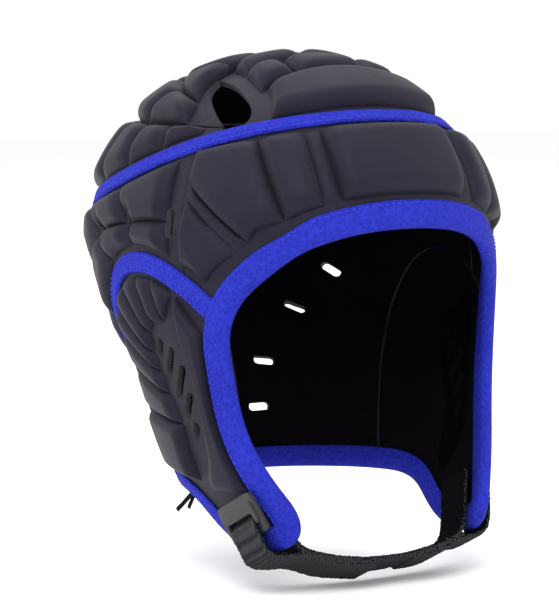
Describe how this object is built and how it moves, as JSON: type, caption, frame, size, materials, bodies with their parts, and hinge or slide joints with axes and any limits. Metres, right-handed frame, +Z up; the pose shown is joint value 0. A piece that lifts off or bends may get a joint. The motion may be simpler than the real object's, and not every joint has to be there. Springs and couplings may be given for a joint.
{
  "type": "rugby scrum cap",
  "caption": "Padded rugby headguard of quilted foam panels with taped seams, ear covers and a chin strap through a moulded ring.",
  "frame": {"origin": "point of the lining where the crown of the head touches it", "axes": "+Z up, the face looks along -Y, the wearer's left is +X"},
  "size_m": [0.1812, 0.2118, 0.2399],
  "materials": {
    "panel_fabric": "stretch knit over foam",
    "tape": "knitted binding tape",
    "strap": "brushed pile inside, ribbed outside",
    "ring": "moulded, satin",
    "lace": "flat braid"
  },
  "bodies": {
    "root": {"crown_front_panel": "panel_fabric", "crown_rear_panel": "panel_fabric", "crown_rear_band": "panel_fabric", "forehead_panel": "panel_fabric", "back_panel_left": "panel_fabric", "back_panel_right": "panel_fabric", "ear_panel_left": "panel_fabric", "ear_panel_right": "panel_fabric", "crown_tape": "tape", "arch_tape_left": "tape", "arch_tape_right": "tape", "face_tape": "tape", "neck_tape": "tape", "strap_ring": "ring", "chin_strap": "strap", "lace_end_outer": "lace", "lace_end_inner": "lace"}
  },
  "joints": []
}
